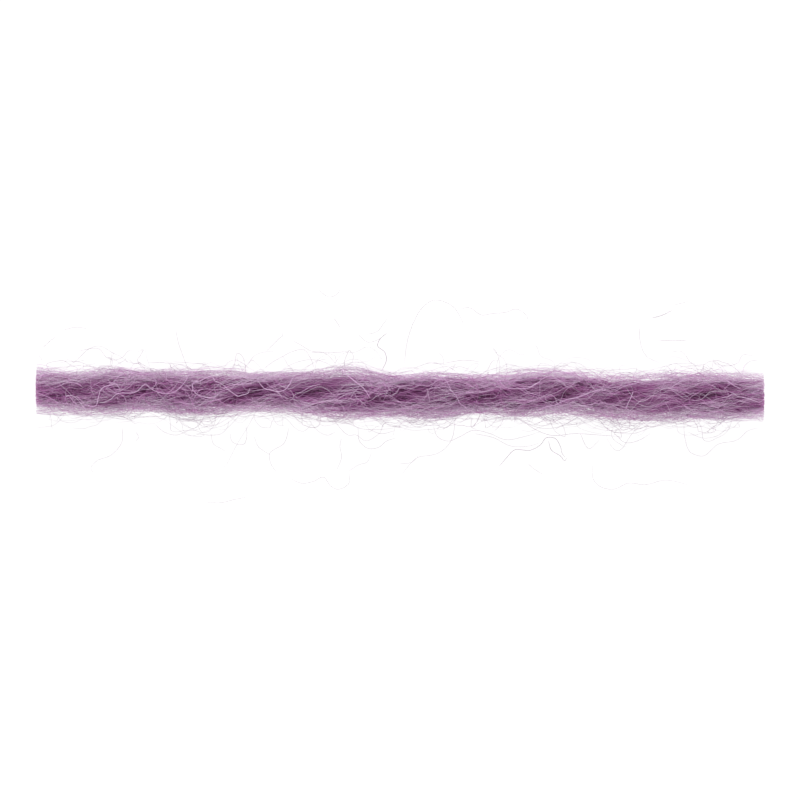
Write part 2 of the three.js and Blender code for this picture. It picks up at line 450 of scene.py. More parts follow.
def smooth_through(places, values, at):
    """Cubic Hermite curve through values at places: in each span it has the slope, at either end, of the
    parabola through that place and its two neighbours."""
    slopes = np.gradient(values, places)
    span = np.clip(np.searchsorted(places, at) - 1, 0, len(places) - 2)
    width = places[span + 1] - places[span]
    t = (at - places[span]) / width
    rise = t * t * (3 - 2 * t)
    leave = t * (1 - t) ** 2
    arrive = t * t * (t - 1)
    level = values[span] * (1 - rise) + values[span + 1] * rise
    return level + width * (slopes[span] * leave + slopes[span + 1] * arrive)


def side_at(along):
    """Where the yarn's middle lies across it: the curve through its run's sides."""
    return smooth_through(RUN["along"], RUN["side"], along)


def radius_at(along):
    """The yarn's radius over its crests: the curve through its run's radii."""
    return smooth_through(RUN["along"], RUN["radius"], along)


def groove_angle_at(along):
    """Angle of the first groove round the yarn: it stands at the top where the first place in
    GROOVES_OVER_TOP lies, and each later groove is there one ply's angle on."""
    turns = np.arange(len(GROOVES_OVER_TOP)) * PLY_ANGLE
    return TOP - smooth_through(GROOVES_OVER_TOP, turns, along)


def height_at(along, sizes):
    """Height of the yarn's middle over the surface: its radius, less the share that is pressed flat."""
    return radius_at(along) * (1 - sizes.settling)


def crest_share(along, angle, sizes):
    """0 in a groove and 1 on a crest: a power of the sine of the angle from the groove, so that round crests
    meet in sharper grooves."""
    from_groove = (angle - groove_angle_at(along)) * PLY_COUNT / 2
    return np.abs(np.sin(from_groove)) ** sizes.crest_roundness


def outline_share(along, angle, sizes):
    """The yarn's outline as a share of its radius over the crests."""
    return 1 - sizes.groove_depth * (1 - crest_share(along, angle, sizes))


def patches(along, angle):
    """Slow change of tone over the yarn: a long and a short sine of its length and of the angle round it."""
    longer, shorter = PATCH_LENGTHS
    total = PATCH_TONE * np.sin(TURN * along / longer + 2 * angle + 1.0)
    return total + PATCH_TONE * np.sin(TURN * along / shorter - angle)


def hollow_share(along, angle, reach):
    """How far a point on the yarn's upper half lies in the hollows: the sum of their Gaussian bumps, each
    stretched along the yarn and leaning, up to 1. It fades out down the flanks with the sine of the angle."""
    across = side_at(along) + reach * np.cos(angle)
    total = np.zeros(np.shape(along))
    for hollow in HOLLOWS:
        onward = along - hollow["along"]
        sideways = across - hollow["across"] - hollow["lean"] * onward
        bump = np.exp(-((onward / hollow["length"]) ** 2) - (sideways / hollow["width"]) ** 2)
        total = total + hollow["depth"] * bump
    return np.minimum(total, 1) * np.clip(2 * np.sin(angle), 0, 1)


def place_round(along, angle, reach, sizes, lift=0.0):
    """Points at a reach from the yarn's middle and an angle round it. What would lie under the surface is
    pressed up to its lift above it."""
    across = side_at(along) + reach * np.cos(angle)
    up = height_at(along, sizes) + reach * np.sin(angle)
    return np.stack([along, across, np.maximum(up, lift)], axis=-1)


def beside(along, angle, reach):
    """0 over the yarn and 1 off beside it: how far to the side a point is, in radii, less 0.9, times 5."""
    return np.clip((np.abs(reach * np.cos(angle)) / radius_at(along) - 0.9) * 5, 0, 1)


# Surfaces


def unit(vectors):
    """Vectors divided by their own lengths."""
    return vectors / np.maximum(np.linalg.norm(vectors, axis=-1, keepdims=True), 1e-9)


def ring_quads(index):
    """Quads between each ring and the next, from point numbers whose last axis goes round a ring."""
    onward = np.roll(index, -1, axis=-1)
    corners = (index[..., :-1, :], onward[..., :-1, :], onward[..., 1:, :], index[..., 1:, :])
    return np.stack(corners, axis=-1).reshape(-1, 4)


def tubes(paths, widths, tones, hues, sides=3):
    """Closed tubes along paths (fibre, station, xyz). Each ring has its points at equal angles round the
    path, measured from a direction square to it and to the way in which that fibre bends least.
    Returns points, quads, triangles and a UV for each point: u is its tone and v its hue."""
    count, stations = paths.shape[:2]
    tangents = unit(np.gradient(paths, axis=1))
    spread = paths - paths.mean(axis=1, keepdims=True)
    covariance = np.einsum("fsi,fsj->fij", spread, spread)
    least = np.linalg.eigh(covariance)[1][:, :, 0]
    first = unit(np.cross(tangents, least[:, None, :]))
    second = np.cross(tangents, first)
    corner = np.arange(sides)
    turn = corner * TURN / sides
    ring = np.cos(turn)[:, None] * first[:, :, None, :] + np.sin(turn)[:, None] * second[:, :, None, :]
    points = paths[:, :, None, :] + ring * (widths / 2)[:, :, None, None]
    index = np.arange(count * stations * sides).reshape(count, stations, sides)
    fans = [index[:, end, [0, point, point + 1]][:, ::order]
            for end, order in ((0, -1), (-1, 1)) for point in range(1, sides - 1)]
    along_tone = np.clip(tones, *TONE_LIMITS) + TONE_ALONG * np.linspace(0, 1, stations)
    u = along_tone[:, :, None] + TONE_ROUND * (corner % 2)
    v = np.clip(np.broadcast_to(hues, paths.shape[:2]), *HUE_LIMITS)[:, :, None] + corner * HUE_ROUND
    uvs = np.stack([u, v], axis=-1).reshape(-1, 2)
    return points.reshape(-1, 3), ring_quads(index), np.concatenate(fans), uvs


def new_piece(name, surfaces, material):
    """A mesh object from surfaces of points in millimetres, quads, triangles and a UV for each point."""
    starts = np.cumsum([0] + [len(surface[0]) for surface in surfaces])
    points = np.concatenate([surface[0] for surface in surfaces]) * MM
    quads = np.concatenate([surface[1] + start for surface, start in zip(surfaces, starts)])
    triangles = np.concatenate([surface[2] + start for surface, start in zip(surfaces, starts)])
    uvs = np.concatenate([surface[3] for surface in surfaces])
    corners = np.concatenate([quads.ravel(), triangles.ravel()])
    totals = np.repeat([4, 3], [len(quads), len(triangles)])
    mesh = bpy.data.meshes.new(name)
    mesh.vertices.add(len(points))
    mesh.vertices.foreach_set("co", points.astype(np.float32).ravel())
    mesh.loops.add(len(corners))
    mesh.loops.foreach_set("vertex_index", corners.astype(np.int32))
    mesh.polygons.add(len(totals))
    mesh.polygons.foreach_set("loop_start", (np.cumsum(totals) - totals).astype(np.int32))
    mesh.polygons.foreach_set("loop_total", totals.astype(np.int32))
    mesh.update(calc_edges=True)
    mesh.polygons.foreach_set("use_smooth", np.ones(len(totals), bool))
    layer = mesh.uv_layers.new(name=PALETTE_MAP)
    layer.data.foreach_set("uv", uvs[corners].astype(np.float32).ravel())
    if mesh.validate():
        raise RuntimeError(f"{name}: the mesh had faults")
    piece = bpy.data.objects.new(name, mesh)
    bpy.context.scene.collection.objects.link(piece)
    mesh.materials.append(material)
    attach(piece, "root")
    return piece


def tubes_round(chosen, sizes, along, angle, reach, widths, tones, hues):
    """Tubes of the chosen fibres, each point at its reach from the yarn's middle and its angle round it."""
    points = place_round(along, angle, reach, sizes, lift=widths / 2)
    return tubes(*(values[chosen] for values in (points, widths, tones, hues)))


def draws(sizes, number):
    """The random draws of one piece, from the seed and the piece's own number."""
    return np.random.default_rng(sizes.seed * 100 + number)


def waves(rng, along, amplitudes, lengths):
    """Sum of sine waves along each fibre, one for each amplitude and wavelength. Each has its own phase, and
    its size and wavelength are drawn from a range about the stated ones."""
    total = 0.0
    for amplitude, length in zip(amplitudes, lengths):
        phase = rng.uniform(0, TURN, (len(along), 1))
        own_length = length * rng.uniform(*WAVE_LENGTHS, (len(along), 1))
        own_amplitude = amplitude * rng.uniform(*WAVE_SIZES, (len(along), 1))
        total = total + own_amplitude * np.sin(TURN * along / own_length + phase)
    return total


def taper(t, tip):
    """Width along a fibre, where t goes from -1 at one end to 1 at the other: full in the middle, tip times
    that at its two ends, by the sixth power of t."""
    return 1 - (1 - tip) * t**6


def lying_span(rng, lock_middle, lengths, stations):
    """Where fibres lie along the yarn. Each one's middle is near its lock's, and it is cut off where it would
    pass a cut end. Returns its places, its whole middle and length, and whether more than a stub is left."""
    shape = lock_middle.shape
    middle = lock_middle + rng.normal(0, MIDDLE_SPREAD, shape)
    length = rng.uniform(*lengths, shape)
    cut = HALF_LENGTH + rng.uniform(*CUT_UNEVENNESS, (2, *shape))
    start = np.maximum(middle - length / 2, -cut[0])
    stop = np.minimum(middle + length / 2, cut[1])
    along = start + (stop - start) * np.linspace(0, 1, stations)
    return along, middle, length, (stop - start)[:, 0] > SHORTEST_FIBRE


def lying_angle(rng, of_lock, along, middle, lock_middle, locks, spread, stray, crimp):
    """Angle of lying fibres round the yarn: the lock's angle, plus its share of the plies' turn since its
    middle, plus its wave, the fibre's place in the lock times a slow wave, the fibre's straying from it and
    its crimp, each of these a length divided by the radius."""
    twist = groove_angle_at(along) - groove_angle_at(lock_middle)
    evenly = (np.arange(locks) + rng.uniform(0, 1, locks)) * TURN / locks
    lock_angle = of_lock(rng.permutation(evenly))
    follow = of_lock(rng.normal(*FOLLOWING, locks))
    wave_size = of_lock(rng.uniform(*LOCK_WAVE_SIZES, locks))
    wave_length = of_lock(rng.uniform(*LOCK_WAVE_LENGTHS, locks))
    wave_phase = of_lock(rng.uniform(0, TURN, locks))
    fray_phase = of_lock(rng.uniform(0, TURN, locks))
    fray = 0.6 + 0.5 * np.sin(TURN * along / (wave_length * 0.8) + fray_phase)
    around = wave_size * np.sin(TURN * along / wave_length + wave_phase)
    around = around + rng.normal(0, spread, middle.shape) * fray
    around = around + rng.normal(0, stray, middle.shape) * (along - middle)
    around = around + waves(rng, along, (0.045 * crimp, 0.022 * crimp), (2.6, 1.2))
    return lock_angle + follow * twist + around / radius_at(along)


def lying_tone(rng, sizes, tone, along, angle, sideways, hollow):
    """A lying fibre's tone with the painted light and shade that its place adds. It is lighter on the crests
    and darker in the grooves, a painted shade; lighter on the flanks, a painted glow; a little lighter still
    half way down the far flank, which faces the stronger lamp, a painted light; and darker in a hollow, a
    painted shade. Fibres differ more on the flanks."""
    tone = tone + CREST_LIGHT_GROOVE_SHADE * (crest_share(along, angle, sizes) - MEAN_CREST) + patches(along, angle)
    flank = np.clip((np.abs(sideways) - 0.15) / 0.85, 0, 1.2)
    own = rng.normal(0, 1, (len(along), 1))
    tone = tone + own * (0.035 + 0.08 * flank) + waves(rng, along, (0.03,), (2.5,))
    far_side = np.clip(1 - np.abs(sideways - 0.5) / 0.3, 0, 1)
    return tone + FLANK_PAINTED_GLOW * flank + FAR_SIDE_PAINTED_LIGHT * far_side - EVEN_TONE - HOLLOW_PAINTED_SHADE * hollow


def lying_fibres(
    rng, sizes, locks, per_lock, depths, lengths, stations, tones, width, crimp, spread, stray, packing
):
    """Fibres that lie along the plies in locks, each a wavy bundle that frays and closes up again.

    A fibre's reach from the middle is the yarn's outline there times its depth, plus finer crimp, and less in
    a hollow. Its tone runs from dark where it lies far in, a painted shade, to light where it reaches far
    out. Far out it is also greyer, a painted light that stands for the white light showing through the loose
    wool, and it is greyer on the near flank, which faces the weaker lamp, a painted shade. Most fibres are
    finer than the stated width and a few nearly twice it, by the fourth power of a random share."""
    lock = np.repeat(np.arange(locks), per_lock)
    shape = (len(lock), 1)

    def of_lock(values):
        """Each fibre's own lock's value."""
        return values[lock][:, None]

    farthest = HALF_LENGTH + PAST_THE_END
    lock_middle = of_lock(rng.uniform(-farthest, farthest, locks))
    along, middle, length, long_enough = lying_span(rng, lock_middle, lengths, stations)
    angle = lying_angle(rng, of_lock, along, middle, lock_middle, locks, spread, stray, crimp)
    radius = radius_at(along)
    lock_depth = depths[0] + (depths[1] - depths[0]) * of_lock(rng.beta(*packing, locks))
    depth = lock_depth + rng.normal(0, 0.035, shape)
    reach = radius * outline_share(along, angle, sizes) * depth
    reach = reach + waves(rng, along, (0.03 * crimp, 0.015 * crimp), (2.3, 1.1))
    hollow = hollow_share(along, angle, reach)
    reach = reach * (1 - HOLLOW_DEPTH * hollow)
    sideways = reach * np.cos(angle) / radius
    rise = np.clip((reach / radius - 0.5) / 0.5, 0, 1)
    # Painted shade: the farther in a fibre lies, the darker its tone
    tone = tones[0] + (tones[1] - tones[0]) * rise + of_lock(rng.normal(0, 0.05, locks))
    tone = lying_tone(rng, sizes, tone, along, angle, sideways, hollow)
    outer = np.clip((reach / radius - 0.9) / 0.3, 0, 1)
    hue = of_lock(rng.normal(0.1, 0.06, locks)) + rng.normal(0, 0.04, shape)
    # Greyer far out, a painted light for the white light that shows through the loose wool, and greyer on the
    # near flank, which faces the weaker lamp, a painted shade
    hue = hue + 0.2 * outer + 0.16 * np.clip(-sideways - 0.2, 0, 1)
    own_width = width * (0.75 + 1.2 * rng.uniform(0, 1, shape) ** 4)
    own_width = own_width * taper((along - middle) / (length / 2), 0.5)
    return tubes_round(long_enough, sizes, along, angle, reach, own_width, tone, hue)


def loose_fibres(
    rng, sizes, count, lengths, lifts, tone, width, curl, headings, stations=24, root=0.9, kink=0.3, near=0.0
):
    """Loose fibres that arch and curl over the plies, a share of them on the near side.

    On the yarn's unrolled surface a fibre goes a small step at a time in a heading that swings as the sum of
    three sine waves, so it bends, loops and kinks. Its height over the outline starts and ends at its root's
    depth and rises in between as a half sine, or to a free end as about a quarter sine. Off beside the yarn
    it is greyer and paler, a painted light that stands for the white light showing through the thin fibre
    there."""
    shape = (count, 1)
    length = rng.uniform(*lengths, shape)
    t = np.linspace(0, 1, stations)
    heading = rng.choice([0.0, math.pi], shape) + rng.normal(0.09, headings, shape)
    for swings, size in ((1.0, curl), (2.6, curl * 0.6), (4.5, kink)):
        phase = rng.uniform(0, TURN, shape)
        own_swings = swings * rng.uniform(0.5, 1.2, shape)
        heading = heading + size * rng.uniform(0.3, 1.3, shape) * np.sin(TURN * own_swings * t + phase)
    step = length / (stations - 1)
    along = rng.uniform(-HALF_LENGTH, HALF_LENGTH, shape) + np.cumsum(np.cos(heading), 1) * step
    around = np.cumsum(np.sin(heading), 1) * step
    anywhere = rng.uniform(0, TURN, shape)
    near_side = rng.normal(math.pi, 0.6, shape)
    angle = np.where(rng.uniform(0, 1, shape) < near, near_side, anywhere) + around / radius_at(along)
    lift = lifts[0] + (lifts[1] - lifts[0]) * rng.uniform(0, 1, shape) ** 2
    arch = np.sin(math.pi * t * rng.choice([0.55, 1.0], shape, p=[FREE_ENDS, 1 - FREE_ENDS])) ** 0.8
    base = radius_at(along) * outline_share(along, angle, sizes) * root
    reach = base + (lift + radius_at(along) * (1 - root)) * arch + waves(rng, along, (0.02,), (1.5,))
    own_width = width * rng.uniform(*FIBRE_WIDTHS, shape) * taper(2 * t - 1, 0.4)
    own_tone = tone + rng.normal(0, 0.08, shape) + 0.05 * (t - 0.5)
    # Off beside the yarn: greyer and paler, a painted light for the white light that shows through the thin
    # fibre
    outer = beside(along, angle, reach)
    hue = rng.uniform(0.0, 0.1, shape) * (1 - outer) + 0.95 * outer
    own_tone = own_tone + 0.25 * outer
    inside = np.abs(along).max(axis=1) < HALF_LENGTH + 0.05
    return tubes_round(inside, sizes, along, angle, reach, own_width, own_tone, hue)


def flyaway_fibres(rng, sizes, count, reaches, stations, tone, width):
    """Fibres that leave the yarn altogether.

    Each sets off in a plane through the yarn's middle line, at a heading that turns steadily and swings, so
    that some arch back and others end in the air. The plane swings a little round the line."""
    shape = (count, 1)
    t = np.linspace(0, 1, stations)
    far = reaches[0] + (reaches[1] - reaches[0]) * rng.uniform(0, 1, shape) ** 2.5
    length = far * rng.uniform(1.3, 2.6, shape)
    bend = rng.uniform(-2.8, 0.3, shape)
    swing = rng.uniform(0.1, 0.7, shape)
    swings = rng.uniform(0.7, 1.8, shape)
    heading = rng.uniform(0.4, 1.3, shape) + bend * t
    heading = heading + swing * np.sin(TURN * swings * t + rng.uniform(0, TURN, shape))
    step = length / (stations - 1)
    along = rng.uniform(-HALF_LENGTH + 0.5, HALF_LENGTH - 0.5, shape)
    along = along + rng.choice([-1.0, 1.0], shape) * np.cumsum(np.cos(heading), 1) * step
    angle = rng.uniform(0, TURN, shape) + waves(rng, along, (0.25,), (3.0,)) * t
    reach = np.maximum(radius_at(along) * 0.88 + np.cumsum(np.sin(heading), 1) * step, 0.6)
    own_width = width * rng.uniform(0.8, 1.2, shape) * taper(2 * t - 1, 0.4)
    own_tone = tone + rng.normal(0, 0.05, shape) + 0.04 * t
    inside = np.abs(along).max(axis=1) < HALF_LENGTH + 0.1
    # Greyer off beside the yarn, a painted light for the white light that shows through the fibre
    hue = 0.1 + 0.85 * beside(along, angle, reach)
    return tubes_round(inside, sizes, along, angle, reach, own_width, own_tone, hue)


def placed_fibre(points, stations, width, tone, hue, height_of):
    """One fibre as a smooth curve through points that were read from above, at the height that height_of
    gives for its places along and across the yarn and its share of the way."""
    points = np.array(points, float)
    steps = np.linalg.norm(np.diff(points, axis=0), axis=1)
    places = np.concatenate([[0], np.cumsum(steps)])
    share = np.linspace(0, 1, stations)
    along = smooth_through(places, points[:, 0], share * places[-1])
    across = smooth_through(places, points[:, 1], share * places[-1])
    path = np.stack([along, across, height_of(along, across, share)], axis=-1)[None]
    widths = (width * taper(2 * share - 1, 0.5))[None]
    tones = np.linspace(tone - 0.03, tone + 0.03, stations)[None]
    return tubes(path, widths, tones, hue, sides=4)


# Materials


def add_node(tree, kind, **settings):
    """A new node of that kind with its settings."""
    node = tree.nodes.new(kind)
    for name, value in settings.items():
        setattr(node, name, value)
    return node


def add_ramp(tree, first, last):
    """A new colour ramp between two colours."""
    ramp = add_node(tree, "ShaderNodeValToRGB")
    for stop, colour in zip(ramp.color_ramp.elements, (first, last)):
        stop.color = (*colour, 1)
    return ramp


def wool_tone_group():
    """Group that turns a place on the wool's palette into its colour.

    u runs from the painted shade of the wool that lies deepest, between the plies, through the wool on them,
    to the pale loose wool, which the flanks also take as a painted glow, and v from pinker to greyer. The
    colour is the palette's at u, times the tint at v, times a mottle: soft noise of the wool's dye, evenly
    about 1. Its mask is the mottle's own noise."""
    group = bpy.data.node_groups.get("wool_tone")
    if group:
        return group
    colours = bpy.context.scene.yarn_colours
    group = bpy.data.node_groups.new("wool_tone", "ShaderNodeTree")
    for name, way, kind in (
        ("Palette", "INPUT", "Vector"),
        ("Place", "INPUT", "Vector"),
        ("Mottle", "INPUT", "Float"),
        ("Color", "OUTPUT", "Color"),
        ("Mask", "OUTPUT", "Float"),
    ):
        group.interface.new_socket(name, in_out=way, socket_type=f"NodeSocket{kind}")
    inside = add_node(group, "NodeGroupInput")
    outside = add_node(group, "NodeGroupOutput")
    split = add_node(group, "ShaderNodeSeparateXYZ")
    palette = add_ramp(group, colours.deep_shade, colours.pale)
    palette.color_ramp.interpolation = "EASE"
    palette.color_ramp.elements.new(0.5).color = (*colours.body, 1)
    tint = add_ramp(group, colours.pinker, colours.greyer)
    tinted = add_node(group, "ShaderNodeMix", data_type="RGBA", blend_type="MULTIPLY")
    tinted.inputs["Factor"].default_value = 1.0
    noise = add_node(group, "ShaderNodeTexNoise")
    noise.inputs["Scale"].default_value = MOTTLE_SCALE
    noise.inputs["Detail"].default_value = MOTTLE_DETAIL
    half_off = add_node(group, "ShaderNodeMath", operation="SUBTRACT")
    half_off.inputs[1].default_value = 0.5
    about_one = add_node(group, "ShaderNodeMath", operation="MULTIPLY_ADD")
    about_one.inputs[2].default_value = 1.0
    mottled = add_node(group, "ShaderNodeVectorMath", operation="SCALE")
    for source, target in (
        (inside.outputs["Palette"], split.inputs[0]),
        (split.outputs["X"], palette.inputs["Fac"]),
        (split.outputs["Y"], tint.inputs["Fac"]),
        (palette.outputs["Color"], tinted.inputs[6]),
        (tint.outputs["Color"], tinted.inputs[7]),
        (inside.outputs["Place"], noise.inputs["Vector"]),
        (noise.outputs["Fac"], half_off.inputs[0]),
        (half_off.outputs[0], about_one.inputs[0]),
        (inside.outputs["Mottle"], about_one.inputs[1]),
        (tinted.outputs[2], mottled.inputs[0]),
        (about_one.outputs[0], mottled.inputs["Scale"]),
        (mottled.outputs[0], outside.inputs["Color"]),
        (noise.outputs["Fac"], outside.inputs["Mask"]),
    ):
        group.links.new(source, target)
    return group


def wool_material(name, gloss, roughness, mottle):
    """Wool whose colour comes from each fibre's place on the palette, and whose roughness varies a little
    with the dye's mottle. Light goes a short way into it."""
    known = bpy.data.materials.get(name)
    if known:
        return known
    material = bpy.data.materials.new(name)
    material.use_nodes = True
    nodes, links = material.node_tree.nodes, material.node_tree.links
    shader = nodes["Principled BSDF"]
    shader.inputs["Specular IOR Level"].default_value = gloss
    shader.inputs["Subsurface Weight"].default_value = 1.0
    shader.inputs["Subsurface Radius"].default_value = (1, 1, 1)
    shader.inputs["Subsurface Scale"].default_value = LIGHT_DEPTH
    palette = nodes.new("ShaderNodeUVMap")
    palette.uv_map = PALETTE_MAP
    place = nodes.new("ShaderNodeTexCoord")
    tone = nodes.new("ShaderNodeGroup")
    tone.node_tree = wool_tone_group()
    tone.inputs["Mottle"].default_value = mottle
    rough = nodes.new("ShaderNodeMapRange")
    rough.inputs["To Min"].default_value = roughness - ROUGHNESS_SPREAD
    rough.inputs["To Max"].default_value = roughness + ROUGHNESS_SPREAD
    links.new(palette.outputs["UV"], tone.inputs["Palette"])
    links.new(place.outputs["Object"], tone.inputs["Place"])
    links.new(tone.outputs["Mask"], rough.inputs["Value"])
    links.new(tone.outputs["Color"], shader.inputs["Base Color"])
    links.new(rough.outputs["Result"], shader.inputs["Roughness"])
    return material


def ply_wool():
    """Matt, for fibres that lie packed together."""
    return wool_material("ply_wool", gloss=0.15, roughness=0.88, mottle=0.5)


def loose_wool():
    """A little glossier, for single fibres that catch the light."""
    return wool_material("loose_wool", gloss=0.3, roughness=0.7, mottle=0.2)


# Pieces


class YARN_OT_plies(Operator):
    """Make the four plies, a packed core under lying fibres, which stand for the CAD strand"""

    bl_idname = "yarn.plies"
    bl_label = "Plies"

    core_share = 0.48
    core_gap = 0.6  # between the core and each cut end
    core_lift = 0.05
    core_steps = 122
    core_around = 48
    end_palette = (0.1, 0.2)

    def execute(self, context):
        sizes = context.scene.yarn_sizes
        fibres = lying_fibres(
            draws(sizes, 1), sizes, locks=150, per_lock=8, depths=(0.38, 0.68), lengths=(6.0, 12.0),
            stations=26, tones=(0.3, 0.6), width=sizes.ply_width / MM, crimp=1.7, spread=0.13, stray=0.05,
            packing=(2.2, 1.4),
        )
        piece = new_piece("plies", [self.core(sizes), fibres], ply_wool())
        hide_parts(YARN_NODE)
        return {"FINISHED"}

    def core(self, sizes):
        """The yarn's outline, as a share of it, carried along its run and closed at both ends. Its tone lies
        near the palette's darkest end, a painted shade for the wool far inside the yarn, with fine streaks,
        the product of two sines."""
        steps, around = self.core_steps, self.core_around
        along = np.linspace(-0.5, 0.5, steps) * (YARN_LENGTH - 2 * self.core_gap)
        from_groove = np.arange(around) * TURN / around
        grid_along = np.broadcast_to(along[:, None], (steps, around))
        angle = groove_angle_at(along)[:, None] + from_groove
        reach = radius_at(grid_along) * outline_share(grid_along, angle, sizes) * self.core_share
        points = place_round(grid_along, angle, reach, sizes, lift=self.core_lift)
        index = np.arange(steps * around).reshape(steps, around)
        onward = np.roll(index, -1, axis=1)
        total = steps * around
        first = np.stack([np.full(around, total), onward[0], index[0]], axis=-1)
        last = np.stack([np.full(around, total + 1), index[-1], onward[-1]], axis=-1)
        # Painted shade: a low tone near the darkest end of the palette, with fine streaks
        tone = 0.14 + 0.08 * np.sin(grid_along * 5.0 + from_groove * 3) * np.sin(from_groove * 16)
        hue = np.broadcast_to(0.2 + 0.1 * np.sin(from_groove), tone.shape)
        uvs = np.stack([tone, hue], axis=-1).reshape(-1, 2)
        middles = points[[0, -1]].mean(axis=1)
        return (
            np.concatenate([points.reshape(-1, 3), middles]),
            ring_quads(index),
            np.concatenate([first, last]),
            np.concatenate([uvs, [self.end_palette] * 2]),
        )


class YARN_OT_cut_ends(Operator):
    """Fill the cut ends with the tips of the fibres that run through the middle of the plies"""

    bl_idname = "yarn.cut_ends"
    bl_label = "Cut ends"

    per_end = 700
    stations = 5
    reach_share = 0.68
    width_share = 0.9
    shortfalls = (0.0, 0.14)
    lengths = (0.8, 1.6)

    def execute(self, context):
        sizes = context.scene.yarn_sizes
        rng = draws(sizes, 41)
        tips = [self.tips(rng, sizes, end) for end in (-1, 1)]
        new_piece("cut_ends", tips, ply_wool())
        return {"FINISHED"}

    def tips(self, rng, sizes, end):
        """Short fibres, spread evenly over the yarn's section by the square root of a random share. Each runs
        from well inside the yarn to its cut tip, and follows the twist with a slight bend of its own."""
        count = (self.per_end, 1)
        cut = HALF_LENGTH - rng.uniform(*self.shortfalls, count)
        start = cut - rng.uniform(*self.lengths, count)
        along = end * (start + (cut - start) * np.linspace(0, 1, self.stations))
        depth = self.reach_share * np.sqrt(rng.uniform(0, 1, count))
        angle = rng.uniform(0, TURN, count) + 0.6 * (groove_angle_at(along) - groove_angle_at(end * cut))
        reach = radius_at(along) * outline_share(along, angle, sizes) * depth
        reach = reach + waves(rng, along, (0.03,), (1.6,))
        own_width = self.width_share * sizes.ply_width / MM * rng.uniform(*FIBRE_WIDTHS, count)
        own_width = own_width * np.ones(self.stations)
        crest = crest_share(along, angle, sizes)
        # Painted light and shade on the cut face: darker towards its middle, lighter on the crests, and
        # lighter still out towards the flanks, a painted glow
        tone = 0.45 + 0.3 * depth + 0.2 * (crest - 0.7) + rng.normal(0, 0.09, count)
        tone = tone + 0.3 * depth * np.abs(np.cos(angle))
        hue = rng.uniform(0.0, 0.2, count)
        return tubes_round(slice(None), sizes, along, angle, reach, own_width, tone, hue)


class YARN_OT_surface_fibres(Operator):
    """Lay finer and paler fibres over the plies"""

    bl_idname = "yarn.surface_fibres"
    bl_label = "Surface fibres"

    layers = 4

    def execute(self, context):
        sizes = context.scene.yarn_sizes
        for number in range(1, self.layers + 1):
            surface = lying_fibres(
                draws(sizes, 10 + number), sizes, locks=375, per_lock=4, depths=(0.56, 1.2),
                lengths=(2.5, 7.5), stations=17, tones=(0.37, 0.77), width=sizes.fuzz_width / MM, crimp=1.8,
                spread=0.32, stray=0.2, packing=(1.1, 1.8),
            )
            new_piece(f"fuzz_{number}", [surface], ply_wool())
        return {"FINISHED"}


class YARN_OT_halo(Operator):
    """Make the loose fibres that arch and curl close round the plies"""

    bl_idname = "yarn.halo"
    bl_label = "Halo"

    def execute(self, context):
        sizes = context.scene.yarn_sizes
        width = sizes.loose_width / MM
        strands = {
            "count": 230, "lengths": (2.0, 6.0), "lifts": (0.0, 0.08), "tone": 0.88, "width": 1.3 * width,
            "curl": 0.7, "headings": 0.35, "root": 1.0, "kink": 0.2,
        }
        arches = {
            "count": 560, "lengths": (2.0, 7.0), "lifts": (0.0, 1.1), "tone": 0.64, "width": width,
            "curl": 0.5, "headings": 0.25, "near": 0.3,
        }
        curls = {
            "count": 200, "lengths": (1.5, 5.0), "lifts": (0.0, 1.2), "tone": 0.64, "width": width,
            "curl": 1.2, "headings": 0.6, "near": 0.3,
        }
        near_curls = {
            "count": 60, "lengths": (3.0, 9.0), "lifts": (0.4, 2.0), "tone": 0.6, "width": 1.1 * width,
            "curl": 1.5, "headings": 0.7, "stations": 32, "kink": 0.4, "near": 1.0,
        }
        rng = draws(sizes, 21)
        surfaces = [loose_fibres(rng, sizes, **kind) for kind in (strands, arches, curls, near_curls)]
        new_piece("halo", surfaces, loose_wool())
        return {"FINISHED"}


class YARN_OT_flyaways(Operator):
    """Make the sparse fibres that stand far off the yarn"""

    bl_idname = "yarn.flyaways"
    bl_label = "Flyaways"

    clear_share = 0.9  # of the stoutest fibres' width
    faint_share = 0.55
    stations_each = 7  # for each point that was read
    tone = 0.85
    # Greyer, like the loose fibres off beside the yarn, whose grey is a painted light
    hue = 0.95

    def execute(self, context):
        sizes = context.scene.yarn_sizes
        width = sizes.bright_width / MM
        scattered = flyaway_fibres(
            draws(sizes, 31), sizes, count=130, reaches=(0.8, 3.5), stations=34, tone=self.tone,
            width=self.faint_share * width,
        )

        def drift(along, across, share):
            """A little over the yarn's middle height, rising and falling with a sine of the share."""
            return 1.6 + 0.5 * np.sin(share * 3.0 + along[0])

        placed = [
            placed_fibre(points, self.stations_each * len(points), share * width, self.tone, self.hue, drift)
            for fibres, share in ((CLEAR_FLYAWAYS, self.clear_share), (FAINT_FLYAWAYS, self.faint_share))
            for points in fibres
        ]
        new_piece("flyaways", [scattered, *placed], loose_wool())
        return {"FINISHED"}


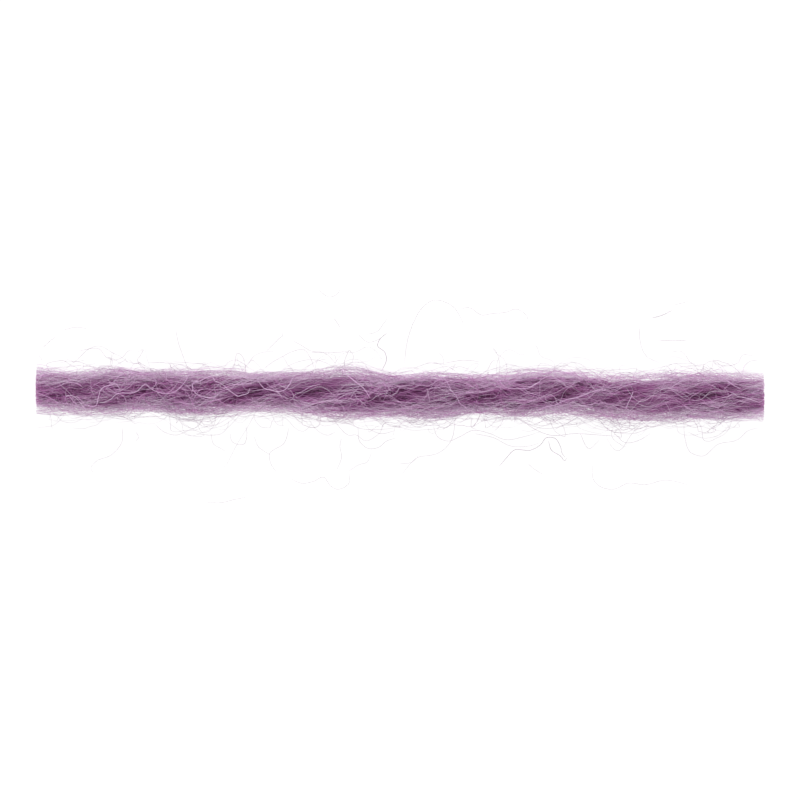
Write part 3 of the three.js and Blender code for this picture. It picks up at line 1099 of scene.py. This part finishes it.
class YARN_OT_crossing_fibres(Operator):
    """Place the bright single fibres that cross the top of the yarn"""

    bl_idname = "yarn.crossing_fibres"
    bl_label = "Crossing fibres"

    stations_each = 5  # for each point that was read

    def execute(self, context):
        sizes = context.scene.yarn_sizes
        width = sizes.bright_width / MM

        def lie_on_yarn(along, across, share):
            """Height of a circle a little wider than the yarn over that place: the square root of its radius
            squared less the distance from the middle squared. Past the flank it stays level."""
            reach = radius_at(along) * 1.1
            off_middle = across - side_at(along)
            up = np.sqrt(np.maximum(reach**2 - off_middle**2, (0.3 * reach) ** 2))
            return height_at(along, sizes) + up

        surfaces = [
            placed_fibre(
                points, self.stations_each * len(points), share * width, tone, 0.05 + 0.005 * number,
                lie_on_yarn,
            )
            for fibres, share, tone in ((BRIGHT_FIBRES, 1.0, 0.95), (FAINT_FIBRES, 0.7, 0.85))
            for number, points in enumerate(fibres)
        ]
        new_piece("crossing_fibres", surfaces, loose_wool())
        return {"FINISHED"}


# Stage


class YARN_OT_stage(Operator):
    """Set up the white floor, the soft lights and the camera"""

    bl_idname = "yarn.stage"
    bl_label = "Stage"

    view_height = 1.4 * MM  # over the floor, where the view has its stated width
    nearest_seen = 1 * MM
    floor_grey = (0.2, 0.2, 0.2, 1)
    floor_glow = 0.93
    sky_strength = 0.5
    lights = (("light_far_side", 1, 0.32), ("light_near_side", -1, 0.18))
    light_size = (0.3, 0.12)
    light_out = 0.22
    light_up = 0.12
    light_tilt = math.radians(60)

    def execute(self, context):
        settings = context.scene.yarn_stage
        self.make_camera(context, settings)
        self.make_floor(context, settings)
        self.make_lights(context)
        context.scene.view_settings.view_transform = "Standard"
        return {"FINISHED"}

    def make_camera(self, context, settings):
        """Straight above the yarn, as far off as its lens needs for the view's width."""
        data = bpy.data.cameras.new("camera")
        data.lens = settings.lens
        data.clip_start = self.nearest_seen
        camera = bpy.data.objects.new("camera", data)
        distance = settings.view_width * data.lens / data.sensor_width
        camera.location = (0, settings.view_side, self.view_height + distance)
        context.scene.collection.objects.link(camera)
        context.scene.camera = camera

    def make_floor(self, context, settings):
        """A square that glows almost white, so that only a faint shade is left on it."""
        half = settings.floor_size / 2
        mesh = bpy.data.meshes.new("floor")
        corners = [(-half, -half, 0), (half, -half, 0), (half, half, 0), (-half, half, 0)]
        mesh.from_pydata(corners, [], [(0, 1, 2, 3)])
        material = bpy.data.materials.new("white_floor")
        material.use_nodes = True
        shader = material.node_tree.nodes["Principled BSDF"]
        shader.inputs["Base Color"].default_value = self.floor_grey
        shader.inputs["Roughness"].default_value = 1.0
        shader.inputs["Specular IOR Level"].default_value = 0.0
        shader.inputs["Emission Color"].default_value = WHITE
        shader.inputs["Emission Strength"].default_value = self.floor_glow
        mesh.materials.append(material)
        floor = bpy.data.objects.new("floor", mesh)
        context.scene.collection.objects.link(floor)

    def make_lights(self, context):
        """An even white sky, and a soft light on either side, turned to the yarn."""
        world = bpy.data.worlds.new("soft_white")
        world.use_nodes = True
        world.node_tree.nodes["Background"].inputs["Color"].default_value = WHITE
        world.node_tree.nodes["Background"].inputs["Strength"].default_value = self.sky_strength
        context.scene.world = world
        for name, side, power in self.lights:
            data = bpy.data.lights.new(name, "AREA")
            data.shape = "RECTANGLE"
            data.size, data.size_y = self.light_size
            data.energy = power
            light = bpy.data.objects.new(name, data)
            light.location = (0, side * self.light_out, self.light_up)
            light.rotation_euler = (-side * self.light_tilt, 0, 0)
            context.scene.collection.objects.link(light)


class YARN_PT_panel(Panel):
    """Lists the yarn's settings and pieces"""

    bl_idname = "YARN_PT_panel"
    bl_label = "Knitting yarn"
    bl_space_type = "VIEW_3D"
    bl_region_type = "UI"
    bl_category = "Yarn"

    def draw(self, context):
        layout = self.layout
        for group in (context.scene.yarn_sizes, context.scene.yarn_colours, context.scene.yarn_stage):
            box = layout.box()
            for name in group.__annotations__:
                box.prop(group, name)
        for operator in OPERATORS:
            layout.operator(operator.bl_idname)


OPERATORS = (
    YARN_OT_stage,
    YARN_OT_plies,
    YARN_OT_cut_ends,
    YARN_OT_surface_fibres,
    YARN_OT_halo,
    YARN_OT_flyaways,
    YARN_OT_crossing_fibres,
)
CLASSES = (YarnSizes, YarnColours, StageSettings, *OPERATORS, YARN_PT_panel)


def register():
    for each in CLASSES:
        bpy.utils.register_class(each)
    bpy.types.Scene.yarn_sizes = PointerProperty(type=YarnSizes)
    bpy.types.Scene.yarn_colours = PointerProperty(type=YarnColours)
    bpy.types.Scene.yarn_stage = PointerProperty(type=StageSettings)


def unregister():
    del bpy.types.Scene.yarn_stage
    del bpy.types.Scene.yarn_colours
    del bpy.types.Scene.yarn_sizes
    for each in reversed(CLASSES):
        bpy.utils.unregister_class(each)


def main():
    register()
    bpy.ops.yarn.stage()
    bpy.ops.yarn.plies()
    bpy.ops.yarn.cut_ends()
    bpy.ops.yarn.surface_fibres()
    bpy.ops.yarn.halo()
    bpy.ops.yarn.flyaways()
    bpy.ops.yarn.crossing_fibres()


if __name__ == "__main__":
    main()
